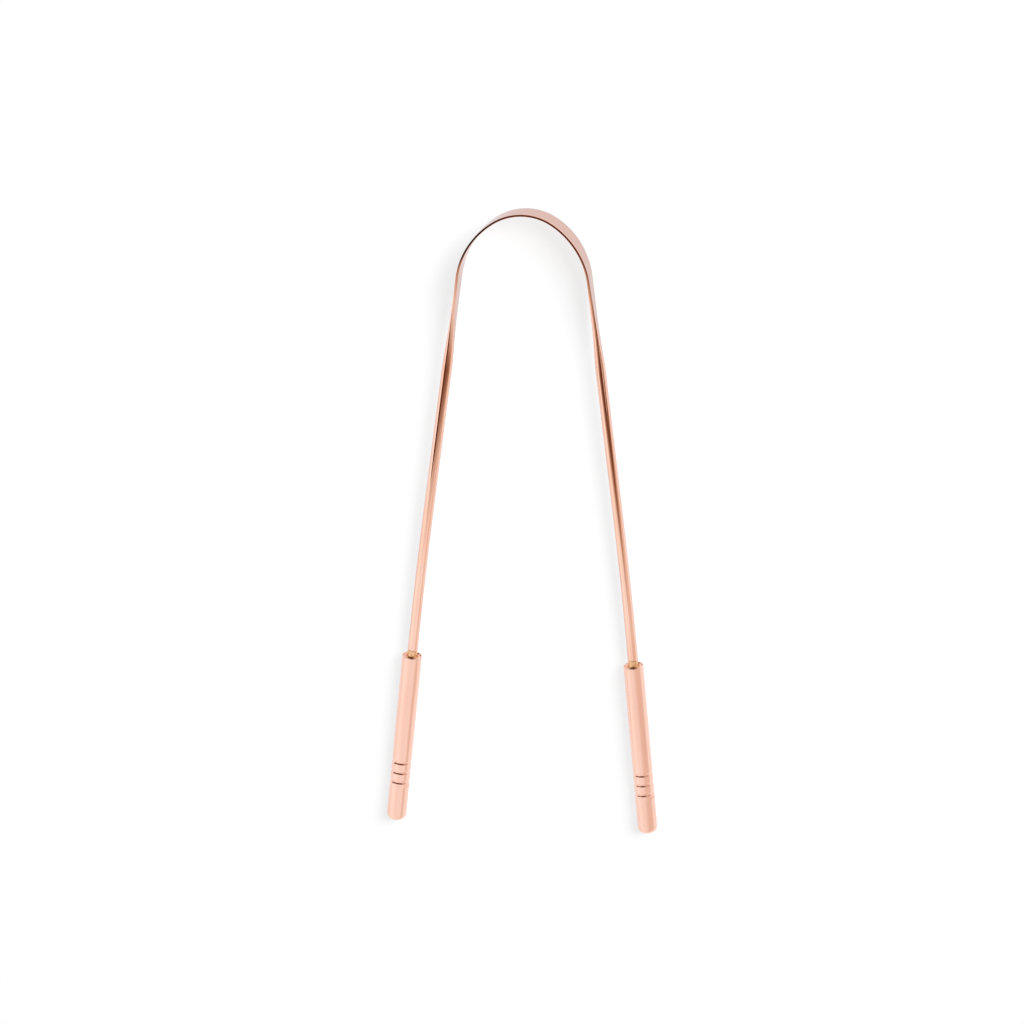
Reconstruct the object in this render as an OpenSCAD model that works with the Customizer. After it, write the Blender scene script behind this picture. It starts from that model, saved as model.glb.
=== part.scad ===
// Copper tongue scraper. A wire bow, rolled flat across its crown, stands in two turned handles.
// The scraper lies on its side: crown towards +Y, handles towards -Y, scraping edges up and down.

/* [Overall] */
// Length from the crown of the bow to the tips of the handles
overall_len = 150; // [125:1:175]

/* [Band] */
// Width of the flat scraping band, from edge to edge
band_w = 9.5; // [7:0.1:13]
// Radius of the arc at the crown
crown_r = 12.5; // [9:0.1:18]
// Turn of the crown arc, from the middle to each shoulder
crown_angle = 32; // [15:1:45]
// Radius of each shoulder, between the crown and a leg
shoulder_r = 18.5; // [12:0.1:26]
// Run of full band width, from the middle of the crown to each side
full_width_run = 10; // [0:0.5:16]
// Run from the middle of the crown to where the wire is round again
round_run = 45.5; // [38:0.5:50]

/* [Legs] */
// Diameter of the copper wire
wire_d = 2.35; // [1.8:0.05:3]
// Lean of each straight leg away from the middle line
leg_angle = 7.4; // [3:0.1:12]
// Length of the slight curve that ends at the handle
bend_len = 38.5; // [20:1:42]
// Turn of that curve, towards the middle line
bend_angle = 1.7; // [0.1:0.1:3]

/* [Handles] */
// Diameter of the handles
handle_d = 4.7; // [4:0.05:7]
// Length of the handles
handle_len = 42.3; // [30:0.1:50]
// Rounding of the handle tips
tip_r = 1.6; // [0.8:0.1:1.9]
// Rounding of the edge round the handle mouths
mouth_r = 0.15; // [0.1:0.05:0.6]
// Depth of the socket that holds the leg
socket_depth = 12; // [6:0.5:14]
// Gap between the leg and the wall of its socket
socket_clearance = 0.04; // [0.02:0.01:0.1]

/* [Grooves] */
// Number of grooves round each handle
groove_count = 3; // [0:1:4]
// Distance from one groove to the next
groove_pitch = 2.5; // [2:0.1:4]
// Distance from the handle tip to the nearest groove
groove_from_tip = 10.2; // [4:0.1:13]
// Radius of the tool that rolled the grooves
groove_r = 0.4; // [0.3:0.05:1.2]
// Depth of the grooves
groove_depth = 0.2; // [0.1:0.05:0.3]

/* [Brazing] */
// Height of the brazing fillet up the foot of each leg
braze_rise = 1.4; // [0.3:0.1:3]
// Reach of the brazing fillet over the handle's end face
braze_reach = 0.35; // [0.2:0.05:1]
// Thickness of the fillet where it runs out, on the leg and on the handle
braze_lip = 0.06; // [0.02:0.01:0.1]

/* [Hidden] */

round_fn = 72;
wire_sides = 24;
fine_rings = 34;
coarse_rings = 12;

wire_r = wire_d / 2;
handle_r = handle_d / 2;
socket_r = wire_r + socket_clearance;
// The leg stops short of the socket floor by this much
socket_gap = 2 * socket_clearance;
// Flat left on the handle's end face, inside its rounded edge, is all that a fillet can stand on
fillet_reach = min(braze_reach, handle_r - mouth_r - wire_r);

// The path of the wire, from the middle of the crown down the right leg
shoulder_angle = 90 - crown_angle - leg_angle;
foot_angle = leg_angle - bend_angle;
crown_run = arc_run(crown_r, crown_angle);
shoulder_run = arc_run(shoulder_r, shoulder_angle);
bend_r = bend_len / (bend_angle * PI / 180);
shoulder_from = [crown_r * sin(crown_angle), crown_r * (cos(crown_angle) - 1)];
leg_from = shoulder_from + arc_step(shoulder_r, crown_angle, 90 - leg_angle);
bend_step = arc_step(bend_r, 90 - leg_angle, 90 - foot_angle);
band_t = 2 * half_thickness(band_w / 2);
// The straight leg takes up what is left of the overall length
tip_reach = tip_r + (handle_r - tip_r) * sin(foot_angle);
below_leg = (handle_len - tip_r) * cos(foot_angle) + tip_reach;
leg_drop = overall_len - band_t / 2 + leg_from.y + bend_step.y - below_leg;
leg_run = leg_drop / cos(leg_angle);
bend_from = leg_from + leg_run * along(90 - leg_angle);
foot = bend_from + bend_step;
// Distances along the wire at which one stretch of the path gives way to the next
leg_at = crown_run + shoulder_run;
bend_at = leg_at + leg_run;
foot_at = bend_at + bend_len;
wire_end = foot_at + socket_depth - socket_gap;
fine_end = max(leg_at, round_run);

function arc_run(r, angle) = r * angle * PI / 180;
// Direction of the path after it has turned by this angle from the crown's +X heading
function along(turn) = [cos(turn), -sin(turn)];
function arc_step(r, from, to) = r * [sin(to) - sin(from), cos(to) - cos(from)];

// Middle of the wire at distance s from the crown, and how far the path has turned there
function right_path(s) =
    s < crown_run ? let (turn = s / crown_r * 180 / PI)
        [each arc_step(crown_r, 0, turn), turn] :
    s < leg_at ? let (turn = crown_angle + (s - crown_run) / shoulder_r * 180 / PI)
        [each shoulder_from + arc_step(shoulder_r, crown_angle, turn), turn] :
    s < bend_at ? [each leg_from + (s - leg_at) * along(90 - leg_angle), 90 - leg_angle] :
    s < foot_at ? let (turn = 90 - leg_angle + (s - bend_at) / bend_r * 180 / PI)
        [each bend_from + arc_step(bend_r, 90 - leg_angle, turn), turn] :
    [each foot + (s - foot_at) * along(90 - foot_angle), 90 - foot_angle];
function path(s) = let (p = right_path(abs(s))) s < 0 ? [-p.x, p.y, -p.z] : p;

// Half of the wire's width at distance s: full across the crown, easing down to the round wire
function half_width(s) =
    let (q = min(1, max(0, (abs(s) - full_width_run) / (round_run - full_width_run))))
    wire_r + (band_w / 2 - wire_r) * (1 + cos(180 * q)) / 2;
// Rolling keeps the section's area, so the half width fixes the half thickness. The section is two
// half rounds joined by flats: area = PI*t^2 + 4*t*(w - t), and at w = wire_r it is the round wire.
function half_thickness(w) =
    (2 * w - sqrt(4 * w * w - (4 - PI) * PI * wire_r * wire_r)) / (4 - PI);

// One ring of points round the wire
function ring(s) =
    let (p = path(s), w = half_width(s), t = half_thickness(w), out = [sin(p.z), cos(p.z)])
    [for (i = [0 : wire_sides - 1])
        let (a = (i + 0.5) * 360 / wire_sides, u = t * cos(a), v = t * sin(a))
        [p.x + out.x * u, p.y + out.y * u, v + (v > 0 ? w - t : t - w)]];

half_stations = [
    for (i = [1 : fine_rings]) fine_end * i / fine_rings,
    for (i = [1 : coarse_rings]) fine_end + (wire_end - fine_end) * i / coarse_rings];
last_station = len(half_stations) - 1;
stations = [for (i = [last_station : -1 : 0]) -half_stations[i], 0, each half_stations];

// Lying on the table the bow stands on its lower edge and the handles on their sides. The edge is
// lower than the handles, so the scraper leans about the tips until both touch.
tip_point = foot + (handle_len - tip_r) * along(90 - foot_angle);
lean = max([for (s = half_stations) if (s < fine_end)
    atan2(half_width(s) - handle_r, path(s).y - tip_point.y)]);
crown_reach = -tip_point.y * cos(lean) + (band_w / 2 - band_t / 2 - handle_r) * sin(lean) + band_t / 2;
tip_drop = cos(foot_angle) * cos(lean);
tips_reach = tip_r + (handle_r - tip_r) * sqrt(1 - tip_drop * tip_drop);
middle_y = (crown_reach - tips_reach) / 2;

// Takes a piece from the plane of the bow to the table top, with the whole scraper over the origin
module laid_down() {
    translate([0, -middle_y, 0])
        rotate([lean, 0, 0])
            translate([0, -tip_point.y, handle_r])
                children();
}

// Puts a turned piece on the foot of a leg: its own Z runs down the handle, from mouth to tip
module on_foot(side) {
    laid_down()
        translate([side * foot.x, foot.y, 0])
            rotate([90, 0, side * foot_angle])
                children();
}

module bow() {
    rings = len(stations);
    sides = wire_sides;
    color("#d98c6b")
        laid_down()
            polyhedron(
                points = [for (s = stations) each ring(s)],
                faces = [
                    [for (i = [sides - 1 : -1 : 0]) i],
                    for (r = [0 : rings - 2], i = [0 : sides - 1])
                        let (j = (i + 1) % sides, a = r * sides, b = a + sides)
                        each [[a + i, a + j, b + i], [a + j, b + j, b + i]],
                    [for (i = [0 : sides - 1]) (rings - 1) * sides + i]],
                convexity = 6);
}

module handle_outline() {
    intersection() {
        square([handle_r, handle_len]);
        union() {
            translate([0, mouth_r]) square([handle_r, handle_len - mouth_r - tip_r]);
            square([handle_r - mouth_r, handle_len - tip_r]);
            square([handle_r - tip_r, handle_len]);
            translate([handle_r - mouth_r, mouth_r]) circle(mouth_r, $fn = round_fn);
            translate([handle_r - tip_r, handle_len - tip_r]) circle(tip_r, $fn = round_fn);
        }
    }
}

module handle(side) {
    color("#e8ab8d")
        on_foot(side)
            rotate_extrude($fn = round_fn)
                difference() {
                    handle_outline();
                    square([socket_r, socket_depth]);
                    for (i = [0 : 1 : groove_count - 1])
                        translate([handle_r + groove_r - groove_depth,
                                handle_len - groove_from_tip - i * groove_pitch])
                            circle(groove_r, $fn = round_fn);
                }
}

module braze(side) {
    color("#d9a35b")
        on_foot(side)
            rotate_extrude($fn = round_fn)
                translate([wire_r, -braze_rise])
                    difference() {
                        square([fillet_reach, braze_rise]);
                        translate([fillet_reach, 0])
                            scale([fillet_reach - braze_lip, braze_rise - braze_lip])
                                circle(1, $fn = round_fn);
                    }
}

module left_handle() { handle(-1); }
module right_handle() { handle(1); }
module left_braze() { braze(-1); }
module right_braze() { braze(1); }

bow();
left_handle();
right_handle();
left_braze();
right_braze();
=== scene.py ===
"""A copper tongue scraper on a pale table: its surfaces, the light on it and the camera.

Lengths are in metres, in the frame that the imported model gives: crown towards +Y, handles
towards -Y, table top at z = 0.
"""
import math

import bpy
import numpy as np
from mathutils import Matrix, Vector, noise


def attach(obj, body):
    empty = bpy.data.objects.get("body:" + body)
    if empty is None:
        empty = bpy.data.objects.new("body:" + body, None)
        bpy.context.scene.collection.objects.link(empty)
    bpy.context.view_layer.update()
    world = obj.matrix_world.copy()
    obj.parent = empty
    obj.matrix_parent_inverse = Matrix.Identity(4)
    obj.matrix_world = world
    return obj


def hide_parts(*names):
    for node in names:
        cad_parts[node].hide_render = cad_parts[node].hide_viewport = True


MM = 0.001
QUARTER = math.pi / 2

# Driving sizes, the same as the frame's
OVERALL_LEN = 150 * MM
BAND_W = 9.5 * MM
CROWN_R = 12.5 * MM
CROWN_ANGLE = math.radians(32)
SHOULDER_R = 18.5 * MM
FULL_WIDTH_RUN = 10 * MM
ROUND_RUN = 45.5 * MM
WIRE_R = 2.35 * MM / 2
LEG_ANGLE = math.radians(7.4)
BEND_LEN = 38.5 * MM
BEND_ANGLE = math.radians(1.7)
HANDLE_R = 4.7 * MM / 2
HANDLE_LEN = 42.3 * MM
TIP_R = 1.6 * MM
MOUTH_R = 0.15 * MM
SOCKET_DEPTH = 12 * MM
SOCKET_CLEARANCE = 0.04 * MM
GROOVE_COUNT = 3
GROOVE_PITCH = 2.5 * MM
GROOVE_FROM_TIP = 10.2 * MM
GROOVE_R = 0.4 * MM
GROOVE_DEPTH = 0.2 * MM
BRAZE_RISE = 1.4 * MM
BRAZE_REACH = 0.35 * MM
BRAZE_LIP = 0.06 * MM

# The slow unevenness of the wire: its height, its length, and the run over which it dies out
# towards the end in the socket
WIRE_WAVE = 0.03 * MM
WAVE_LEN = 14 * MM
WAVE_SEED = 1
WAVE_FADE = 30 * MM

# The rolled band's edges: how much flatter they are than half rounds, how soon that is reached
# as the wire widens, and how soon the mesh's points gather on them
EDGE_SQUASH = 0.88
SQUASH_RATE = 1.8
GATHER_RATE = 3

# The handles: the softened lips of the grooves, the dished end face and its tilt
GROOVE_LIP = 0.15 * MM
DISH_DEPTH = 0.35 * MM
DISH_WALL = 0.16 * MM
MOUTH_SKEW = math.radians(5)
SKEW_REACH = 3 * MM

# The brazing: the rise of its fillet, how thin its film is at the top, and the ripples of its
# upper edge, each a share of the wave's height, a number of lobes and a phase
FILLET_RISE = 0.4 * MM
FEATHER_SHARE = 0.1
BRAZE_WAVE = 0.16 * MM
BRAZE_RIPPLES = [(0.6, 2, 1), (0.4, 5, 0)]

# Fineness of the meshes
ARC_POINTS = 20
FLAT_POINTS = 10
BAND_STEP = 0.4 * MM
LEG_STEP = 0.9 * MM
TURNED_SIDES = 96
PROFILE_STEP = 0.04 * MM
LIP_STEP = PROFILE_STEP / 4
SOCKET_RINGS = 14
DISH_RINGS = 8
MOUTH_RINGS = 12
SHANK_RINGS = 40
END_RINGS = 14
TIP_RINGS = 24
FILM_RINGS = 12
FILLET_RINGS = 16
# Shares of its radius at which two rings close a flat end, the inner one too small to see
CLOSING_SHARES = (0.02, 0.5)

# Name of the attribute that holds each point's place on its piece, laid straight along Z
ROD = "rod"


def arc_step(r, start, end):
    """How far a path moves as it turns from start to end round an arc of radius r."""
    return r * np.array([math.sin(end) - math.sin(start), math.cos(end) - math.cos(start)])


def along(turn):
    """Direction of the path once it has turned by this angle from the crown's +X heading."""
    return np.array([math.cos(turn), -math.sin(turn)])


def half_thickness(w):
    """Half thickness of the rolled wire where its half width is w, at the wire's own area."""
    return (2 * w - math.sqrt(4 * w * w - (4 - math.pi) * math.pi * WIRE_R ** 2)) / (4 - math.pi)


# The path of the wire, from the middle of the crown down the right leg
LEG_TURN = QUARTER - LEG_ANGLE
FOOT_ANGLE = LEG_ANGLE - BEND_ANGLE
FOOT_TURN = QUARTER - FOOT_ANGLE
CROWN_RUN = CROWN_R * CROWN_ANGLE
SHOULDER_RUN = SHOULDER_R * (LEG_TURN - CROWN_ANGLE)
BEND_R = BEND_LEN / BEND_ANGLE
SHOULDER_FROM = arc_step(CROWN_R, 0, CROWN_ANGLE)
LEG_FROM = SHOULDER_FROM + arc_step(SHOULDER_R, CROWN_ANGLE, LEG_TURN)
BEND_STEP = arc_step(BEND_R, LEG_TURN, FOOT_TURN)
BAND_T = 2 * half_thickness(BAND_W / 2)
TIP_REACH = TIP_R + (HANDLE_R - TIP_R) * math.sin(FOOT_ANGLE)
BELOW_LEG = (HANDLE_LEN - TIP_R) * math.cos(FOOT_ANGLE) + TIP_REACH
LEG_RUN = (OVERALL_LEN - BAND_T / 2 + LEG_FROM[1] + BEND_STEP[1] - BELOW_LEG) / math.cos(LEG_ANGLE)
BEND_FROM = LEG_FROM + LEG_RUN * along(LEG_TURN)
FOOT = BEND_FROM + BEND_STEP
LEG_AT = CROWN_RUN + SHOULDER_RUN
BEND_AT = LEG_AT + LEG_RUN
FOOT_AT = BEND_AT + BEND_LEN
WIRE_END = FOOT_AT + SOCKET_DEPTH - 2 * SOCKET_CLEARANCE
TIP_POINT = FOOT + (HANDLE_LEN - TIP_R) * along(FOOT_TURN)


def right_path(s):
    """Middle of the wire at distance s down the right leg, and how far the path has turned."""
    if s < CROWN_RUN:
        turn = s / CROWN_R
        place = arc_step(CROWN_R, 0, turn)
    elif s < LEG_AT:
        turn = CROWN_ANGLE + (s - CROWN_RUN) / SHOULDER_R
        place = SHOULDER_FROM + arc_step(SHOULDER_R, CROWN_ANGLE, turn)
    elif s < BEND_AT:
        turn = LEG_TURN
        place = LEG_FROM + (s - LEG_AT) * along(turn)
    elif s < FOOT_AT:
        turn = LEG_TURN + (s - BEND_AT) / BEND_R
        place = BEND_FROM + arc_step(BEND_R, LEG_TURN, turn)
    else:
        turn = FOOT_TURN
        place = FOOT + (s - FOOT_AT) * along(turn)
    return place[0], place[1], turn


def path(s):
    """The same at any distance from the crown's middle: minus is down the left leg."""
    x, y, turn = right_path(abs(s))
    return (-x, y, -turn) if s < 0 else (x, y, turn)


def half_width(s):
    """Half of the wire's width at distance s: full across the crown, easing down to round."""
    share = min(1, max(0, (abs(s) - FULL_WIDTH_RUN) / (ROUND_RUN - FULL_WIDTH_RUN)))
    return WIRE_R + (BAND_W / 2 - WIRE_R) * (1 + math.cos(math.pi * share)) / 2


def table_lean():
    """The lean at which the band's lower edge and the handle tips both touch the table."""
    runs = np.arange(0, ROUND_RUN, BAND_STEP)
    return max(math.atan2(half_width(s) - HANDLE_R, path(s)[1] - TIP_POINT[1]) for s in runs)


def laid_down():
    """Takes a piece from the plane of the bow to the table top, centred over the origin."""
    lean = table_lean()
    crown = (-TIP_POINT[1] * math.cos(lean) + BAND_T / 2
             + (BAND_W / 2 - BAND_T / 2 - HANDLE_R) * math.sin(lean))
    drop = math.cos(FOOT_ANGLE) * math.cos(lean)
    tips = TIP_R + (HANDLE_R - TIP_R) * math.sqrt(1 - drop * drop)
    return (Matrix.Translation((0, (tips - crown) / 2, 0)) @ Matrix.Rotation(lean, 4, "X")
            @ Matrix.Translation((0, -TIP_POINT[1], HANDLE_R)))


def on_foot(side):
    """Puts a turned piece on the foot of a leg, its own Z running from the mouth to the tip."""
    return (laid_down() @ Matrix.Translation((side * FOOT[0], FOOT[1], 0))
            @ Matrix.Rotation(side * FOOT_ANGLE, 4, "Z") @ Matrix.Rotation(QUARTER, 4, "X"))


def lofted(name, rings, rods, closed_ends=True):
    """A mesh through rings of points, each a closed loop. rods is where they lie laid straight."""
    count = len(rings[0])
    points = [p for ring in rings for p in ring]
    faces = []
    for r in range(len(rings) - 1):
        for i in range(count):
            j = (i + 1) % count
            faces.append((r * count + i, r * count + j, (r + 1) * count + j, (r + 1) * count + i))
    if closed_ends:
        faces.append(tuple(range(count - 1, -1, -1)))
        faces.append(tuple(range(len(points) - count, len(points))))
    mesh = bpy.data.meshes.new(name)
    mesh.from_pydata(points, [], faces)
    place = mesh.attributes.new(ROD, "FLOAT_VECTOR", "POINT")
    place.data.foreach_set("vector", np.array([p for ring in rods for p in ring], float).ravel())
    mesh.shade_smooth()
    mesh.update()
    return bpy.data.objects.new(name, mesh)


def settled(piece, matrix, material, node):
    """Lays a finished piece in the frame, where it stands for its CAD node."""
    piece.data.transform(matrix)
    piece.data.materials.append(material)
    bpy.context.scene.collection.objects.link(piece)
    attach(piece, "root")
    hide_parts(node)


def section(w, t):
    """Points round the rolled wire: two flats joined by rounded edges.

    A round wire's edges are half circles, and the rolled band's are squashed to half ellipses.
    Where the wire is still round the points are even. As it flattens, they gather on the edges.
    """
    flattened = min(1, SQUASH_RATE * (w - WIRE_R) / (BAND_W / 2 - WIRE_R))
    bulge = t * (1 - EDGE_SQUASH * flattened)
    flat, arc = 2 * (w - bulge), math.pi * (t + bulge) / 2
    whole = 2 * (flat + arc)
    ends = [0, arc, arc + flat, 2 * arc + flat, whole]
    counts = [ARC_POINTS, FLAT_POINTS, ARC_POINTS, FLAT_POINTS]
    gathered = np.concatenate([np.linspace(start, end, count, endpoint=False)
                               for start, end, count in zip(ends, ends[1:], counts)])
    even = np.linspace(0, whole, sum(counts), endpoint=False)
    share = min(1, GATHER_RATE * (w - t) / w)
    points = []
    for q in (1 - share) * even + share * gathered:
        if q < arc:
            a = math.pi * q / arc
            points.append((t * math.cos(a), w - bulge + bulge * math.sin(a)))
        elif q < arc + flat:
            points.append((-t, w - bulge - (q - arc)))
        elif q < 2 * arc + flat:
            a = math.pi + math.pi * (q - arc - flat) / arc
            points.append((t * math.cos(a), bulge - w + bulge * math.sin(a)))
        else:
            points.append((t, bulge - w + (q - 2 * arc - flat)))
    return points


def sway(s):
    """How far the wire strays from its path at distance s: slowly, the same on every run."""
    wave = noise.noise(Vector((s / WAVE_LEN, WAVE_SEED, 0)))
    return WIRE_WAVE * wave * min(1, (WIRE_END - abs(s)) / WAVE_FADE)


def bow_mesh():
    """The wire from one socket to the other, its middle rolled flat into the scraping band."""
    leg_steps = round((WIRE_END - ROUND_RUN) / LEG_STEP)
    half = np.concatenate([np.arange(BAND_STEP, ROUND_RUN, BAND_STEP),
                           np.linspace(ROUND_RUN, WIRE_END, leg_steps)])
    rings, rods = [], []
    for s in np.concatenate([-half[::-1], [0], half]):
        x, y, turn = path(s)
        w = half_width(s)
        stray = sway(s)
        outline = section(w, half_thickness(w))
        rings.append([(x + math.sin(turn) * (u + stray), y + math.cos(turn) * (u + stray), v)
                      for u, v in outline])
        rods.append([(u, v, s) for u, v in outline])
    return lofted("bow_wire", rings, rods)


def turned(name, profile, closed=True):
    """Turns a profile of (radius, height) points about Z."""
    angles = np.linspace(0, 2 * math.pi, TURNED_SIDES, endpoint=False)
    rings = [[(r * math.cos(a), r * math.sin(a), z) for a in angles] for r, z in profile]
    return lofted(name, rings, rings, closed)


def groove_cut(z):
    """Depth of the rolled grooves at distance z from the handle's mouth."""
    deepest = 0
    for i in range(GROOVE_COUNT):
        off = z - (HANDLE_LEN - GROOVE_FROM_TIP - i * GROOVE_PITCH)
        if abs(off) < GROOVE_R:
            deepest = max(deepest, math.sqrt(GROOVE_R ** 2 - off ** 2) - (GROOVE_R - GROOVE_DEPTH))
    return deepest


def mouth_profile():
    """Outline of a handle's socket and of its end face, which is dished inside its rim."""
    socket_r = WIRE_R + SOCKET_CLEARANCE
    rim = HANDLE_R - MOUTH_R
    profile = [(socket_r * share, SOCKET_DEPTH) for share in CLOSING_SHARES]
    profile += [(socket_r, z) for z in np.linspace(SOCKET_DEPTH, DISH_DEPTH, SOCKET_RINGS)]
    profile += [(r, DISH_DEPTH) for r in np.linspace(socket_r, rim - DISH_WALL, DISH_RINGS)[1:-1]]
    profile += [(rim - DISH_WALL * share, DISH_DEPTH * share)
                for share in np.linspace(1, 0, DISH_RINGS)[:-1]]
    profile += [(rim + MOUTH_R * math.sin(a), MOUTH_R - MOUTH_R * math.cos(a))
                for a in np.linspace(0, QUARTER, MOUTH_RINGS)]
    return profile


def handle_profile():
    """Outline of a handle, from the socket's floor out over the mouth and down to the tip."""
    last_groove = HANDLE_LEN - GROOVE_FROM_TIP
    grooves_from = last_groove - (GROOVE_COUNT - 1) * GROOVE_PITCH - 2 * GROOVE_R
    grooves_to = last_groove + 2 * GROOVE_R
    profile = mouth_profile()
    profile += [(HANDLE_R, z) for z in np.linspace(MOUTH_R, grooves_from, SHANK_RINGS)[1:-1]]
    # The grooves, with their lips softened by a running mean
    reach = np.arange(-GROOVE_LIP, GROOVE_LIP + LIP_STEP, LIP_STEP)
    for z in np.arange(grooves_from, grooves_to, PROFILE_STEP):
        cut = np.mean([groove_cut(z + d) for d in reach])
        profile.append((HANDLE_R - cut, z))
    profile += [(HANDLE_R, z)
                for z in np.linspace(grooves_to, HANDLE_LEN - TIP_R, END_RINGS)[:-1]]
    profile += [(HANDLE_R - TIP_R + TIP_R * math.cos(a), HANDLE_LEN - TIP_R + TIP_R * math.sin(a))
                for a in np.linspace(0, QUARTER, TIP_RINGS)]
    profile += [((HANDLE_R - TIP_R) * share, HANDLE_LEN) for share in reversed(CLOSING_SHARES)]
    return profile


def braze_profile():
    """Outline of the brazing: a film up the foot of the leg, and a fillet down to the dish."""
    inside, film = WIRE_R - BRAZE_LIP, WIRE_R + BRAZE_LIP
    reach = BRAZE_REACH - BRAZE_LIP
    profile = [(inside, -BRAZE_RISE)]
    profile += [(WIRE_R + BRAZE_LIP * (FEATHER_SHARE + (1 - FEATHER_SHARE) * share),
                 -BRAZE_RISE + (BRAZE_RISE - FILLET_RISE) * share)
                for share in np.linspace(0, 1, FILM_RINGS)]
    profile += [(film + reach * (1 - math.cos(a)),
                 -FILLET_RISE + (FILLET_RISE + DISH_DEPTH) * math.sin(a))
                for a in np.linspace(0, QUARTER, FILLET_RINGS)[1:]]
    profile += [(inside, DISH_DEPTH)]
    return profile


def braze_mesh(name):
    """The brazing, with the uneven upper edge that it froze with."""
    piece = turned(name, braze_profile(), False)
    for vertex in piece.data.vertices:
        turn = math.atan2(vertex.co.y, vertex.co.x)
        ripple = sum(share * math.sin(lobes * turn + phase)
                     for share, lobes, phase in BRAZE_RIPPLES)
        vertex.co.z += BRAZE_WAVE * ripple * min(1, max(0, -vertex.co.z / BRAZE_RISE))
    return piece


def skewed(piece):
    """Tilts what is near the mouth, since the handles were not sawn off quite square."""
    for vertex in piece.data.vertices:
        near = max(0, 1 - abs(vertex.co.z) / SKEW_REACH)
        vertex.co.z += math.tan(MOUTH_SKEW) * vertex.co.y * near
    return piece


# The range in which most of a noise texture's values lie, and the detail of each use of it
NOISE_RANGE = (0.3, 0.7)
PATCH_DETAIL = 3
BRUSH_DETAIL = 5


def add(tree, kind, **settings):
    """Adds a node, sets its own properties, and returns it."""
    node = tree.nodes.new("ShaderNode" + kind)
    for name, value in settings.items():
        setattr(node, name, value)
    return node


def blank(name):
    """A new material with only its output: the material, its nodes and its surface socket."""
    material = bpy.data.materials.new(name)
    material.use_nodes = True
    tree = material.node_tree
    tree.nodes.clear()
    return material, tree, add(tree, "OutputMaterial").inputs["Surface"]


def streaks(tree, across, length, detail):
    """Noise drawn out along the piece, its features about this wide and this long."""
    place = add(tree, "Attribute", attribute_name=ROD)
    squeeze = add(tree, "VectorMath", operation="MULTIPLY")
    squeeze.inputs[1].default_value = (1 / across, 1 / across, 1 / length)
    texture = add(tree, "TexNoise")
    texture.inputs["Scale"].default_value = 1
    texture.inputs["Detail"].default_value = detail
    tree.links.new(place.outputs["Vector"], squeeze.inputs[0])
    tree.links.new(squeeze.outputs[0], texture.inputs["Vector"])
    return texture.outputs[0]


def spread(tree, value, low, high, start, end):
    """Maps a value from the range start to end onto the range low to high."""
    node = add(tree, "MapRange")
    for name, number in (("From Min", start), ("From Max", end), ("To Min", low), ("To Max", high)):
        node.inputs[name].default_value = number
    tree.links.new(value, node.inputs["Value"])
    return node.outputs["Result"]


def between(tree, share, first, second):
    """A colour between two others."""
    node = add(tree, "Mix", data_type="RGBA", clamp_factor=False)
    tree.links.new(share, node.inputs["Factor"])
    for socket, colour in zip([s for s in node.inputs if s.type == "RGBA"], (first, second)):
        socket.default_value = (*colour, 1)
    return next(socket for socket in node.outputs if socket.type == "RGBA")


def joined(tree, operation, first, second):
    """Two values put together."""
    node = add(tree, "Math", operation=operation)
    tree.links.new(first, node.inputs[0])
    tree.links.new(second, node.inputs[1])
    return node.outputs[0]


def metal(name, pale, deep, roughness, patch, brush, glance=(1, 1, 1)):
    """A metal whose colour lies between pale and deep, brushed along its length.

    roughness is (lowest, highest), patch (width, length) of the colour's patches, and brush
    (width, length, depth) of the finest lines. glance tints what it mirrors at a flat angle.
    """
    material = bpy.data.materials.new(name)
    material.use_nodes = True
    tree = material.node_tree
    shader = tree.nodes["Principled BSDF"]
    shader.inputs["Metallic"].default_value = 1
    shader.inputs["Specular Tint"].default_value = (*glance, 1)
    patches = spread(tree, streaks(tree, *patch, PATCH_DETAIL), 0, 1, *NOISE_RANGE)
    tree.links.new(between(tree, patches, pale, deep), shader.inputs["Base Color"])
    width, length, depth = brush
    lines = streaks(tree, width, length, BRUSH_DETAIL)
    tree.links.new(spread(tree, lines, *roughness, *NOISE_RANGE), shader.inputs["Roughness"])
    bump = add(tree, "Bump")
    bump.inputs["Strength"].default_value = 1
    bump.inputs["Distance"].default_value = depth
    tree.links.new(lines, bump.inputs["Height"])
    tree.links.new(bump.outputs["Normal"], shader.inputs["Normal"])
    return material


def wire_copper():
    """Bright drawn wire: pale rose copper, faint die lines along it. Its glance tint is partly
    copper's own dip at flat angles and partly painted shade, darker than the metal's own, for the
    shaded table beside the band that it mirrors.
    """
    # glance is painted shade: it darkens what the wire mirrors at a flat angle beyond copper's own
    # dip
    return metal("wire_copper", pale=(0.97, 0.65, 0.53), deep=(0.93, 0.54, 0.41),
                 roughness=(0.06, 0.12), patch=(1.6 * MM, 20 * MM),
                 brush=(0.12 * MM, 9 * MM, 0.0015 * MM), glance=(0.71, 0.68, 0.69))


def handle_copper():
    """Satin copper, brushed lengthwise."""
    return metal("handle_copper", pale=(0.96, 0.63, 0.52), deep=(0.94, 0.58, 0.47),
                 roughness=(0.18, 0.27), patch=(1.5 * MM, 12 * MM),
                 brush=(0.10 * MM, 6 * MM, 0.003 * MM))


def braze_brass():
    """Brazing metal, yellower than the copper and softly rippled. Its deep patches are partly
    browning by the flame and partly painted shade, darker than the brown it has of its own.
    """
    # The deep colour is partly the flame's browning and partly painted shade
    return metal("braze_brass", pale=(0.91, 0.57, 0.33), deep=(0.68, 0.37, 0.20),
                 roughness=(0.15, 0.25), patch=(0.6 * MM, 0.6 * MM),
                 brush=(0.4 * MM, 0.4 * MM, 0.02 * MM))


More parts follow.
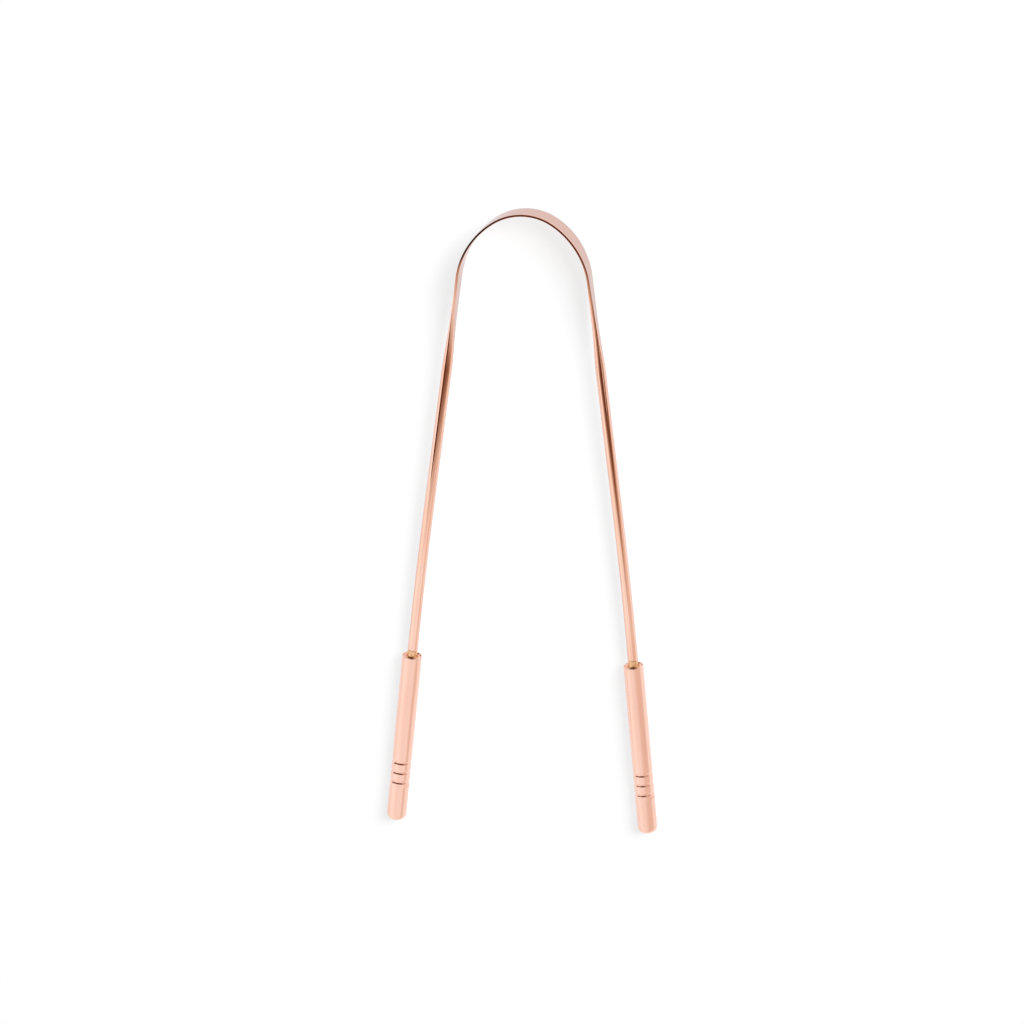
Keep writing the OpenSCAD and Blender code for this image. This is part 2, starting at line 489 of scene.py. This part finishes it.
# The table: its half width, the grey that takes the shadow, the glow that lifts it to white to
# the eye, and the distances from the origin at which it turns plain white
FLOOR_HALF = 3.0
FLOOR_GREY = (0.18, 0.18, 0.18)
FLOOR_LIFT = (0.818, 0.82, 0.822)
FLOOR_WHITE_FROM = 0.12
FLOOR_WHITE_TO = 0.2

# The one lamp that lights the table: a softbox, whose shadows fall to the lower left
KEY = {"toward": (0.56, 0.40, 0.70), "distance": 1.8, "width": 0.96, "height": 1.2,
       "radiance": 13}
# Watts that each square metre of lamp takes for one unit of radiance
WATTS = 4

# Diffusers that hang low over the handles, level and running away from the crown to PANEL_FAR.
# The near edge crosses the middle line at edge, slants by slant to the right and fades over fade
# to each side, and the left side fades over side. glow is the strength beyond GLOW_FROM, far on
# the left, and to the right of GLOW_TO, and tint colours the light.
PANEL_FAR = -900 * MM
GLOW_FROM = -200 * MM
GLOW_TO = -80 * MM
PANELS = {
    "panel": {"height": 176 * MM, "left": -1000 * MM, "right": 700 * MM, "side": 20 * MM,
              "edge": -32.5 * MM, "slant": 0.155, "fade": 35 * MM, "glow": (1.15, 1.0),
              "tint": (1, 1, 1)},
    "card": {"height": 50 * MM, "left": 27 * MM, "right": 600 * MM, "side": 30 * MM,
             "edge": -26 * MM, "slant": -0.36, "fade": 23 * MM, "glow": (0.83, 0.83),
             "tint": (1, 0.86, 0.77)},
}

# The studio from its unlit corners to full light, redder the darker it is: share of light, colour
DARK = (0.02, 0.01, 0.008)
DUSK = (0.11, 0.036, 0.017)
FADE = [(0, DUSK), (0.3, (0.30, 0.165, 0.105)), (0.65, (0.64, 0.50, 0.40)), (1, (1, 1, 1))]

# Dark flags, one over the left shoulder and one along the left leg: height, colour and corners,
# in millimetres
FLAGS = {
    "shoulder_flag": (100, DARK, [(-300, 25), (-22, 25), (-22, 300), (-300, 300)]),
    "leg_flag": (20, DUSK, [(-33, 5), (-25, 14), (-22, 38), (-28, 46), (-36, 38), (-40, 14)]),
}

# The room, by the X, Y or Z of a direction. Each range is where a stretch of light fades: the
# low horizon with height, full before the handles and BACK_GLOW behind the crown, and the walls
# on both sides, of which the left one starts above the horizon.
HORIZON_Z = (0.185, 0.26)
HORIZON_Y = (-0.15, 0.1)
BACK_GLOW = 0.1
SIDE_GLOW = 0.85
RIGHT_X = (0.4, 0.75)
LEFT_X = (-0.75, -0.4)
LEFT_Z = (0.3, 0.45)


def paper():
    """White table top. Away from the object it is plain white to the eye, as the room is."""
    material, tree, surface = blank("table_white")
    diffuse = add(tree, "BsdfDiffuse")
    diffuse.inputs["Color"].default_value = (*FLOOR_GREY, 1)
    seen = add(tree, "LightPath")
    eye = joined(tree, "MAXIMUM", seen.outputs["Is Camera Ray"], seen.outputs["Is Glossy Ray"])
    lift = add(tree, "Emission")
    lift.inputs["Color"].default_value = (*FLOOR_LIFT, 1)
    tree.links.new(eye, lift.inputs["Strength"])
    near = add(tree, "AddShader")
    tree.links.new(diffuse.outputs[0], near.inputs[0])
    tree.links.new(lift.outputs[0], near.inputs[1])
    place = add(tree, "NewGeometry")
    distance = add(tree, "VectorMath", operation="LENGTH")
    tree.links.new(place.outputs["Position"], distance.inputs[0])
    away = spread(tree, distance.outputs["Value"], 0, 1, FLOOR_WHITE_FROM, FLOOR_WHITE_TO)
    far = add(tree, "Emission")
    mix = add(tree, "MixShader")
    tree.links.new(joined(tree, "MULTIPLY", away, eye), mix.inputs[0])
    tree.links.new(near.outputs[0], mix.inputs[1])
    tree.links.new(far.outputs[0], mix.inputs[2])
    tree.links.new(mix.outputs[0], surface)
    return material


def softbox(name, toward, distance, width, height, radiance):
    """A lamp of this radiance and size, seen from the object in direction toward."""
    light = bpy.data.lights.new(name, "AREA")
    light.shape = "RECTANGLE"
    light.size = width
    light.size_y = height
    light.energy = WATTS * width * height * radiance
    lamp = bpy.data.objects.new(name, light)
    direction = Vector(toward).normalized()
    lamp.location = direction * distance
    lamp.rotation_euler = direction.to_track_quat("Z", "Y").to_euler()
    bpy.context.scene.collection.objects.link(lamp)
    return lamp


def fade(tree, share):
    """The studio's colour at this share of full light."""
    ramp = add(tree, "ValToRGB")
    stops = ramp.color_ramp.elements
    while len(stops) < len(FADE):
        stops.new(1)
    for stop, (place, colour) in zip(stops, FADE):
        stop.position = place
        stop.color = (*colour, 1)
    tree.links.new(share, ramp.inputs["Fac"])
    return ramp.outputs["Color"]


def surroundings():
    """A white horizon before the handles, under a dark, warm room that lights only the metal."""
    world = bpy.data.worlds.new("studio")
    bpy.context.scene.world = world
    world.use_nodes = True
    tree = world.node_tree
    direction = add(tree, "TexCoord")
    parts = add(tree, "SeparateXYZ")
    tree.links.new(direction.outputs["Generated"], parts.inputs[0])
    x, y, z = (parts.outputs[axis] for axis in "XYZ")
    low = spread(tree, z, 1, 0, *HORIZON_Z)
    front = spread(tree, y, 1, BACK_GLOW, *HORIZON_Y)
    seen = add(tree, "LightPath")
    lit = joined(tree, "MAXIMUM", front, seen.outputs["Is Camera Ray"])
    right = spread(tree, x, 0, SIDE_GLOW, *RIGHT_X)
    left = joined(tree, "MULTIPLY", spread(tree, x, SIDE_GLOW, 0, *LEFT_X),
                  spread(tree, z, 0, 1, *LEFT_Z))
    sides = joined(tree, "MAXIMUM", left, right)
    light = joined(tree, "MAXIMUM", sides, joined(tree, "MULTIPLY", low, lit))
    tree.links.new(fade(tree, light), tree.nodes["Background"].inputs["Color"])
    world.cycles_visibility.diffuse = False


def diffuser(name, panel):
    """Light that a panel gives, fading out across its near edge."""
    material, tree, surface = blank(name + "_light")
    glow = add(tree, "Emission")
    place = add(tree, "NewGeometry")
    across = add(tree, "VectorMath", operation="DOT_PRODUCT")
    tree.links.new(place.outputs["Position"], across.inputs[0])
    across.inputs[1].default_value = (panel["slant"], 1, 0)
    lit = spread(tree, across.outputs["Value"], 1, 0,
                 panel["edge"] - panel["fade"], panel["edge"] + panel["fade"])
    tint = add(tree, "VectorMath", operation="MULTIPLY")
    tree.links.new(fade(tree, lit), tint.inputs[0])
    tint.inputs[1].default_value = panel["tint"]
    tree.links.new(tint.outputs[0], glow.inputs["Color"])
    parts = add(tree, "SeparateXYZ")
    tree.links.new(place.outputs["Position"], parts.inputs[0])
    x = parts.outputs["X"]
    tree.links.new(spread(tree, x, *panel["glow"], GLOW_FROM, GLOW_TO), glow.inputs["Strength"])
    mix = add(tree, "MixShader")
    inner = panel["left"] + panel["side"]
    tree.links.new(spread(tree, x, 0, 1, panel["left"], inner), mix.inputs[0])
    tree.links.new(add(tree, "BsdfTransparent").outputs[0], mix.inputs[1])
    tree.links.new(glow.outputs[0], mix.inputs[2])
    tree.links.new(mix.outputs[0], surface)
    return material


def cloth(name, colour):
    """A flag's dark cloth, of an even colour that no light changes."""
    material, tree, surface = blank(name + "_cloth")
    look = add(tree, "Emission")
    look.inputs["Color"].default_value = (*colour, 1)
    tree.links.new(look.outputs[0], surface)
    return material


def sheet(name, outline, height, material):
    """A flat, level sheet that belongs to the studio and not to the scraper."""
    mesh = bpy.data.meshes.new(name)
    mesh.from_pydata([(x, y, height) for x, y in outline], [], [tuple(range(len(outline)))])
    mesh.materials.append(material)
    piece = bpy.data.objects.new(name, mesh)
    bpy.context.scene.collection.objects.link(piece)
    return piece


def only_for_metal(piece):
    """Hides a sheet from all but mirrored light, so that the lamp alone lights the table."""
    piece.visible_camera = False
    piece.visible_diffuse = False
    piece.visible_shadow = False


def studio():
    """The table, the lamp over it, and the panels and flags that the metal mirrors."""
    far = FLOOR_HALF
    sheet("table", [(-far, -far), (far, -far), (far, far), (-far, far)], 0, paper())
    softbox("key", **KEY).visible_glossy = False
    for name, panel in PANELS.items():
        near = panel["edge"] + panel["fade"]
        left, right = panel["left"], panel["right"]
        outline = [(left, PANEL_FAR), (right, PANEL_FAR),
                   (right, near - panel["slant"] * right), (left, near - panel["slant"] * left)]
        only_for_metal(sheet(name, outline, panel["height"], diffuser(name, panel)))
    for name, (height, colour, corners) in FLAGS.items():
        outline = [(x * MM, y * MM) for x, y in corners]
        only_for_metal(sheet(name, outline, height * MM, cloth(name, colour)))


# Where the photograph was taken from: the point that the camera looks at, how far it stands to
# the side of it, above it and turned, all in radians, its distance, and its focal length
AIM = Vector((-2.5512 * MM, 3.72854 * MM, 4.0 * MM))
EYE_SIDE = 0.13234
EYE_UP = 0.25575
EYE_ROLL = 0.00626
EYE_DISTANCE = 670.07 * MM
FOCAL_PIXELS = 2851.67
FRAME_PIXELS = 1024
SENSOR_MM = 36


def camera():
    """The camera, at the photograph's place and angle."""
    back = Vector((math.tan(EYE_SIDE), math.tan(EYE_UP), 1)).normalized()
    right = Vector((0, 1, 0)).cross(back).normalized()
    up = back.cross(right)
    turn = Matrix.Rotation(EYE_ROLL, 3, back)
    right, up = turn @ right, turn @ up
    data = bpy.data.cameras.new("camera")
    data.sensor_width = SENSOR_MM
    data.lens = FOCAL_PIXELS / FRAME_PIXELS * SENSOR_MM
    eye = bpy.data.objects.new("camera", data)
    place = Matrix((right, up, back)).transposed().to_4x4()
    place.translation = AIM + EYE_DISTANCE * back
    eye.matrix_world = place
    bpy.context.scene.collection.objects.link(eye)
    bpy.context.scene.camera = eye


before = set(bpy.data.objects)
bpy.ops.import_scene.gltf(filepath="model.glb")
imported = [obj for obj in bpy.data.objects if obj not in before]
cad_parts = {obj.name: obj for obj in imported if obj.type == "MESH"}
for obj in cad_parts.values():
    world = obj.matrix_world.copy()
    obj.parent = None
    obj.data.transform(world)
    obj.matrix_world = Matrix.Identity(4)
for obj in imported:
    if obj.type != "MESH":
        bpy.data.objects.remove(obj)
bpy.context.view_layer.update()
bpy.context.scene.view_settings.view_transform = "Standard"
camera()
surroundings()
studio()

wire, satin, brass = wire_copper(), handle_copper(), braze_brass()
settled(bow_mesh(), laid_down(), wire, "bow")
for side, hand in ((-1, "left"), (1, "right")):
    settled(skewed(turned(hand + "_grip", handle_profile())), on_foot(side), satin,
            hand + "_handle")
    settled(skewed(braze_mesh(hand + "_fillet")), on_foot(side), brass, hand + "_braze")
